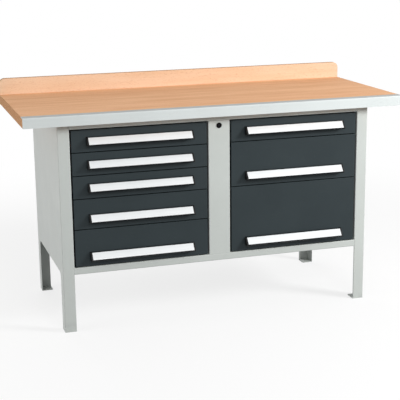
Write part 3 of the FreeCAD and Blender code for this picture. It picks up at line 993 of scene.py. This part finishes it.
@dataclass
class Drawer(SubAssembly):
    """One drawer: folded front, box with pressed ribs, grip strip with a label card, caps and rails."""

    name: str
    nose_out: float = 0.028
    nose_up: float = 0.030
    crown_out: float = 0.006
    crown_up: float = 0.0585
    lip_out: float = 0.0245
    lip_up: float = 0.027
    foot_up: float = 0.060
    card_start: float = 0.0032
    card_end: float = 0.0345
    card_low: float = 0.0001
    card_high: float = 0.0005
    card_steps: int = 3
    bead_width: float = 0.0010
    bead_height: float = 0.0008
    bead_points: int = 9
    cap_edge: float = 0.0011
    cap_rows: int = 6
    cap_lip_round: float = 0.0008
    cap_round: float = 0.0028
    cap_foot_round: float = 0.0002
    sheet: float = 0.0012
    hem: float = 0.009
    rib_pitch: float = 0.045
    rib_width: float = 0.008
    rib_height: float = 0.0010
    rib_sink: float = 0.0002
    rib_floor_gap: float = 0.008
    rib_sweep: float = 84.0
    rib_fade: int = 6
    rib_rows: int = 9
    rib_points: int = 14

    def __post_init__(self) -> None:
        """Read the drawer's place from the frame."""
        low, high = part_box(self.name + "_front")
        strip_low, strip_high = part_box(self.name + "_handle")
        caps_low, caps_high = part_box(self.name + "_caps")
        self.front = low.y
        self.level = caps_low.z - self.lip_up
        self.middle = (low.x + high.x) / 2
        self.strip_half = (strip_high.x - strip_low.x) / 2
        self.cap_depth = (caps_high.x - caps_low.x) / 2 - self.strip_half

    def on_front(self, out: np.ndarray, up: np.ndarray) -> np.ndarray:
        """Return y and z of points given out from the drawer front and up from the seam below it."""
        return np.stack([self.front - out, self.level + up], axis=-1)

    def on_grip(self, along: np.ndarray, proud: np.ndarray) -> np.ndarray:
        """Return y and z of points on the slanted face of the grip strip.

        A point is nose + along * t + proud * n, where t runs up the face and n stands out from it.

        Args:
            along: Distance up the face from its nose.
            proud: Height above the face.

        Returns:
            Rows of y and z.
        """
        run = np.array([self.crown_out - self.nose_out, self.crown_up - self.nose_up])
        t_out, t_up = run / np.linalg.norm(run)
        out = self.nose_out + along * t_out + proud * t_up
        up = self.nose_up + along * t_up - proud * t_out
        return self.on_front(out, up)

    def label(self) -> None:
        """Lay a blank card on the grip strip: a thin rounded bar carried along the strip."""
        corners = np.array([
            (self.card_start, self.card_low),
            (self.card_end, self.card_low),
            (self.card_end, self.card_high),
            (self.card_start, self.card_high),
        ])
        outline = rounded_outline(corners, np.full(len(corners), self.card_low), self.card_steps)
        half = self.strip_half - self.bead_height
        places = self.middle + np.array([-half, half])
        rings = carried_along(self.on_grip(outline[:, 0], outline[:, 1]), places)
        card = shell(self.name + "_label", rings[None])
        self.keep(card, self.name, "label_card", "handle_aluminium")

    def beads(self) -> None:
        """Hold the card with two beads: half rounds along = c + w / 2 * cos(a), proud = h * sin(a)."""
        angle = np.linspace(0.0, np.pi, self.bead_points)
        places = self.middle + np.array([-self.strip_half, self.strip_half])
        copies = []
        for centre in (self.card_start, self.card_end):
            along = centre + self.bead_width / 2 * np.cos(angle)
            proud = self.bead_height * np.sin(angle)
            copies.append(carried_along(self.on_grip(along, proud), places))
        bars = shell(self.name + "_card_beads", np.stack(copies))
        self.keep(bars, self.name, "handle_aluminium", "handle_aluminium")

    def caps(self) -> None:
        """Close the grip strip with moulded caps.

        A cap is the strip's outline carried outwards. Near its end the outline draws in towards its middle
        by r * (1 - cos(a)) while the place moves on by r * sin(a), which rounds the rim.
        """
        corners = np.array([
            (self.lip_out, self.lip_up),
            (self.nose_out, self.nose_up),
            (self.crown_out, self.crown_up),
            (0.0, self.foot_up),
            (0.0, self.lip_up),
        ])
        radii = np.array([
            self.cap_lip_round, self.cap_round, self.cap_round, self.cap_foot_round, self.cap_foot_round,
        ])
        outline = rounded_outline(corners, radii)
        outline = self.on_front(outline[:, 0], outline[:, 1])
        centre = outline.mean(axis=0)
        reach = np.linalg.norm(outline - centre, axis=1).mean()
        angle = np.radians(np.linspace(0.0, 90.0, self.cap_rows))
        inset = np.concatenate([[0.0], self.cap_edge * (1 - np.cos(angle))])
        place = np.concatenate([[0.0], self.cap_depth - self.cap_edge + self.cap_edge * np.sin(angle)])
        drawn = centre + (outline - centre)[None] * (1 - inset / reach)[:, None, None]
        copies = []
        for side in (-1, 1):
            x = self.middle + side * (self.strip_half + place)
            copies.append(points(x[:, None], drawn[..., 0], drawn[..., 1]))
        ends = shell(self.name + "_end_caps", np.stack(copies))
        self.keep(ends, self.name, "black_plastic", "black_plastic", self.name + "_caps")

    def ribs(self) -> None:
        """Press upright ribs into the side walls of the box, where dividers slide in.

        Across a rib, y = w / 2 * cos(a) and its height is h * sin(a), held at a small sink behind the wall.
        Along the rib, s = sin(b) for b between minus and plus the sweep, so the rows lie closer near the
        ends, where the rib narrows and fades by the square root of 1 - s ** 6.
        """
        low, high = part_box(self.name + "_box")
        count = int((high.y - low.y) / self.rib_pitch) - 1
        span = self.rib_pitch * (count - 1) / 2
        rows = (low.y + high.y) / 2 + np.linspace(-span, span, count)
        bottom = low.z + self.rib_floor_gap
        top = high.z - self.hem - self.rib_floor_gap / 2
        share = np.sin(np.radians(np.linspace(-self.rib_sweep, self.rib_sweep, self.rib_rows)))[:, None]
        fade = np.sqrt(1 - share ** self.rib_fade)
        angle = np.linspace(0.0, 2 * np.pi, self.rib_points, endpoint=False)[None, :]
        y = self.rib_width / 2 * np.cos(angle) * fade
        proud = np.maximum(self.rib_height * np.sin(angle), -self.rib_sink) * fade
        z = (bottom + top) / 2 + share * (top - bottom) / 2
        copies = []
        for wall, inward in ((low.x + self.sheet, 1), (high.x - self.sheet, -1)):
            rib = points(wall + inward * proud, y, z)
            copies.append(copied(rib, points(0.0, rows, 0.0)))
        ribs = shell(self.name + "_divider_ribs", np.concatenate(copies))
        self.keep(ribs, self.name, "drawer_box_paint", "drawer_box_paint")

    def build(self) -> None:
        """Build the new pieces of the drawer."""
        self.label()
        self.beads()
        self.caps()
        self.ribs()

    def finish(self) -> None:
        """Dress the nodes of the drawer."""
        self.dress("drawer_front_paint", self.name + "_front")
        self.dress("drawer_box_paint", self.name + "_box")
        self.dress("handle_aluminium", self.name + "_handle")
        self.dress("zinc_steel", self.name + "_rails")


@dataclass(frozen=True)
class Softbox:
    """A square studio lamp that looks at one point of the bench."""

    name: str
    position: Triple
    size: float
    power: float
    mirrored: bool = True
    target: Triple = (0.0, 0.0, 0.5)

    def build(self) -> None:
        """Add the lamp to the scene; the camera doesn't see the lamp itself."""
        lamp = bpy.data.lights.new(self.name, "AREA")
        lamp.shape = "SQUARE"
        lamp.size = self.size
        lamp.energy = self.power
        holder = bpy.data.objects.new(self.name, lamp)
        holder.location = self.position
        aim = Vector(self.target) - Vector(self.position)
        holder.rotation_euler = aim.to_track_quat("-Z", "Y").to_euler()
        holder.visible_camera = False
        holder.visible_glossy = self.mirrored
        bpy.context.scene.collection.objects.link(holder)


@dataclass(frozen=True)
class Viewpoint:
    """Where the picture is taken from; angles in degrees, lens and sensor in millimetres."""

    position: Triple = (-1.3140, -4.2179, 1.5084)
    turn: float = 17.386
    tilt: float = 13.915
    roll: float = 0.649
    lens: float = 97.196
    sensor: float = 36.0

    def build(self) -> None:
        """Add the camera: it looks turn degrees right of plus y and tilt degrees down."""
        turn, tilt, roll = (math.radians(a) for a in (self.turn, self.tilt, self.roll))
        ahead = Vector((math.sin(turn) * math.cos(tilt), math.cos(turn) * math.cos(tilt), -math.sin(tilt)))
        level = Vector((math.cos(turn), -math.sin(turn), 0.0))
        down = ahead.cross(level)
        right = level * math.cos(roll) + down * math.sin(roll)
        up = level * math.sin(roll) - down * math.cos(roll)
        view = Matrix((right, up, -ahead)).transposed().to_4x4()
        view.translation = Vector(self.position)
        lens = bpy.data.cameras.new("viewpoint")
        lens.lens = self.lens
        lens.sensor_width = self.sensor
        camera = bpy.data.objects.new("viewpoint", lens)
        camera.matrix_world = view
        bpy.context.scene.collection.objects.link(camera)
        bpy.context.scene.camera = camera


@dataclass(frozen=True)
class Studio:
    """White studio: plain floor that keeps a soft shadow, white surround and four softboxes."""

    viewpoint: Viewpoint = Viewpoint()
    lamps: tuple[Softbox, ...] = (
        Softbox("key", (2.9, -2.2, 2.0), size=1.0, power=112.0),
        Softbox("front_fill", (0.0, -4.2, 2.8), size=1.4, power=42.0),
        Softbox("side_fill", (-3.6, -0.5, 1.15), size=1.8, power=34.0),
        Softbox("rear_fill", (-0.6, 4.6, 1.7), size=3.0, power=75.0, mirrored=False),
    )
    surround: float = 0.36
    floor_half: float = 30.0
    floor_grey: Rgb = (150, 150, 150)
    floor_white: Rgb = (250, 250, 250)
    shadow_share: float = 0.25
    shadow_near: float = 1.2
    shadow_far: float = 3.0

    def seen(self, recipe: Recipe) -> Shade:
        """Tell which rays see the white studio.

        Args:
            recipe: Tree that the nodes go into.

        Returns:
            One for rays from the camera, from gloss and through glass, zero for others.
        """
        camera = recipe.node("ShaderNodeLightPath", {}, {}, "Is Camera Ray")
        gloss = recipe.node("ShaderNodeLightPath", {}, {}, "Is Glossy Ray")
        glass = recipe.node("ShaderNodeLightPath", {}, {}, "Is Transmission Ray")
        return camera.larger(gloss).larger(glass)

    def floor(self) -> None:
        """Add the floor: it shows white, less a share of its own shading near the bench.

        The share falls from its full value to nothing between two distances from the bench's middle. Light
        that bounces off the floor meets a darker grey, so the underside of the bench stays in shade.
        """
        recipe = Recipe.of_material("floor")
        spot = recipe.place()
        away = recipe.node("ShaderNodeVectorMath", {"operation": "LENGTH"}, {0: spot}, "Value")
        share = (1.0 - away.rise(self.shadow_near, self.shadow_far)) * self.shadow_share
        white = recipe.node("ShaderNodeEmission", {}, {"Color": WHITE, "Strength": 1.0})
        seen = self.seen(recipe)
        tone = recipe.blend(seen, paint(self.floor_grey), paint(self.floor_white))
        matt = recipe.node("ShaderNodeBsdfDiffuse", {}, {"Color": tone})
        shown = seen * (1.0 - share)
        surface = recipe.node("ShaderNodeMixShader", {}, {0: shown, 1: matt, 2: white})
        recipe.close("ShaderNodeOutputMaterial", surface)
        half = self.floor_half
        mesh = bpy.data.meshes.new("floor")
        corners = [(-half, -half, 0.0), (half, -half, 0.0), (half, half, 0.0), (-half, half, 0.0)]
        mesh.from_pydata(corners, [], [(0, 1, 2, 3)])
        mesh.materials.append(recipe.owner)
        ground = bpy.data.objects.new("floor", mesh)
        bpy.context.scene.collection.objects.link(ground)

    def sky(self) -> None:
        """Light the scene evenly; what the camera, gloss and glass see is white."""
        world = bpy.data.worlds.new("surround")
        recipe = Recipe(world)
        strength = self.seen(recipe) * (1.0 - self.surround) + self.surround
        light = recipe.node("ShaderNodeBackground", {}, {"Color": WHITE, "Strength": strength})
        recipe.close("ShaderNodeOutputWorld", light)
        bpy.context.scene.world = world

    def build(self) -> None:
        """Set up the camera, the lamps, the floor and the surround."""
        self.viewpoint.build()
        for lamp in self.lamps:
            lamp.build()
        self.floor()
        self.sky()
        bpy.context.scene.view_settings.view_transform = "Standard"


def main(studio: Studio = Studio()) -> None:
    """Build the bench in order: import the model, build and dress each group, then set up the studio.

    Args:
        studio: Camera, lamps, floor and surround.
    """
    logging.basicConfig(level=logging.INFO, format="%(name)s: %(message)s")
    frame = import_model()
    palette = Palette(FINISHES)
    nodes = frame["nodes"]
    groups: list[SubAssembly] = [Carcass(nodes, palette), Worktop(nodes, palette), Lock(nodes, palette)]
    names = sorted(body for body in frame["bodies"] if body.startswith("drawer_"))
    groups += [Drawer(nodes, palette, name=name) for name in names]
    for group in groups:
        group.build()
        group.finish()
    studio.build()


if __name__ == "__main__":
    main()
